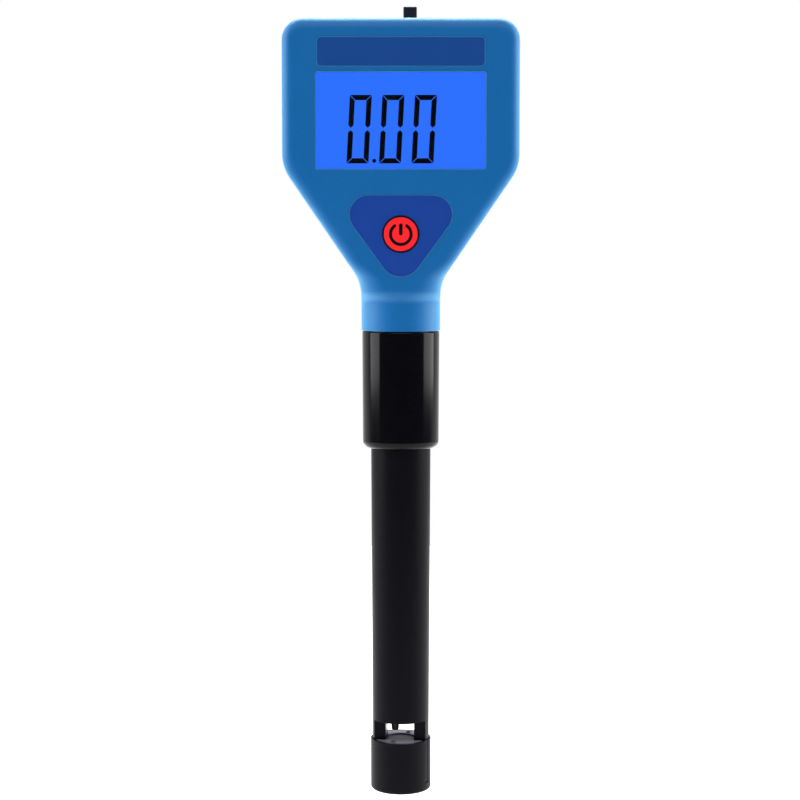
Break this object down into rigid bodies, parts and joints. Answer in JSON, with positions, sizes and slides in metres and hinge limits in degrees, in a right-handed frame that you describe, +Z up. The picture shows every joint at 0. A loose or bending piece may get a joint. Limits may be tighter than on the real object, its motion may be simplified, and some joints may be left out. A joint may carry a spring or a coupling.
{
  "type": "water quality tester",
  "caption": "Pen-shaped water conductivity tester with a wide blue head, lit display, power button, slide switch and a black probe that unscrews from the neck.",
  "frame": {"origin": "middle of the foot, on the cap's flat underside", "axes": "+Z up the probe's axis, -Y towards the display's viewer, +X to the viewer's right"},
  "size_m": [0.0466, 0.0226, 0.1579],
  "materials": {
    "head_plastic": "fine matte texture with small bright flecks",
    "plate_film": "smooth film",
    "keypad_film": "smooth film",
    "clear_window": "clear polished pane",
    "display_glass": "clear glass",
    "backlight_plastic": "even blue glow",
    "contact_rubber": "soft matte",
    "seal_rubber": "soft matte",
    "sheet_steel": "fine rolled grain",
    "cell_steel": "bright nickel",
    "screw_steel": "zinc plated",
    "black_plastic": "moulded satin",
    "red_plastic": "moulded satin",
    "knob_plastic": "moulded satin",
    "board_laminate": "solder mask",
    "capacitor_sleeve": "shrink sleeve",
    "trimmer_plastic": "moulded",
    "contact_brass": "plated",
    "lead_red": "wire jacket",
    "lead_black": "wire jacket",
    "lead_white": "wire jacket",
    "lead_yellow": "wire jacket",
    "sleeve_plastic": "smooth satin",
    "tube_plastic": "smooth satin",
    "electrode_steel": "fine brushed",
    "finger_plastic": "smooth",
    "disc_plastic": "smooth moulded"
  },
  "bodies": {
    "head": {"front_shell": "head_plastic", "rear_shell": "head_plastic", "display_window": "clear_window", "lcd_front_glass": "display_glass", "lcd_rear_glass": "display_glass", "backlight": "backlight_plastic", "contact_strip": "contact_rubber", "display_frame": "sheet_steel", "name_plate": "plate_film", "keypad_film": "keypad_film", "button_ring": "black_plastic", "tact_switch": "black_plastic", "main_board": "board_laminate", "controller_chip": "black_plastic", "smoothing_capacitor": "capacitor_sleeve", "crystal": "sheet_steel", "trimmer": "trimmer_plastic", "switch_can": "sheet_steel", "switch_base": "black_plastic", "battery_cell_1": "cell_steel", "battery_cell_2": "cell_steel", "battery_cell_3": "cell_steel", "contact_plate": "sheet_steel", "contact_leaf": "sheet_steel", "case_screws": "screw_steel", "probe_socket": "black_plastic", "socket_pins": "contact_brass", "head_lead_1": "lead_red", "head_lead_2": "lead_black", "head_lead_3": "lead_white", "head_lead_4": "lead_yellow"},
    "button": {"power_button": "red_plastic", "tact_plunger": "black_plastic"},
    "switch": {"switch_knob": "knob_plastic"},
    "door": {"battery_door": "head_plastic"},
    "probe": {"probe_tube": "tube_plastic", "probe_plug": "black_plastic", "plug_contacts": "contact_brass", "face_seal": "seal_rubber", "cell_insert": "black_plastic", "electrode_left": "electrode_steel", "electrode_right": "electrode_steel", "temperature_finger": "finger_plastic", "probe_wire_1": "lead_red", "probe_wire_2": "lead_black", "probe_wire_3": "lead_white", "probe_wire_4": "lead_yellow"},
    "sleeve": {"locking_sleeve": "sleeve_plastic"},
    "cap": {"foot_cap": "black_plastic", "cap_disc": "disc_plastic"}
  },
  "joints": [
    {"name": "button_press", "type": "slide", "parent": "head", "child": "button", "axis": [0, 1, 0], "range_m": [0, 0.0003], "stiffness_N_per_m": 2000},
    {"name": "switch_slide", "type": "slide", "parent": "head", "child": "switch", "axis": [-1, 0, 0], "range_m": [0, 0.0037]},
    {"name": "battery_door_hinge", "type": "hinge", "parent": "head", "child": "door", "pos_m": [0, 0.0124, 0.1266], "axis": [-1, 0, 0], "range_deg": [0, 90]},
    {"name": "probe_pull", "type": "slide", "parent": "head", "child": "probe", "axis": [0, 0, -1], "range_m": [0, 0.006]},
    {"name": "sleeve_turn", "type": "hinge", "parent": "probe", "child": "sleeve", "pos_m": [0, 0, 0.0855], "axis": [0, 0, -1], "range_deg": [0, 1440]},
    {"name": "foot_cap_pull", "type": "slide", "parent": "probe", "child": "cap", "axis": [0, 0, -1], "range_m": [0, 0.0085]}
  ],
  "couplings": [
    {"joint": "probe_pull", "follows": "sleeve_turn", "m_per_rad": 0.00023873}
  ]
}
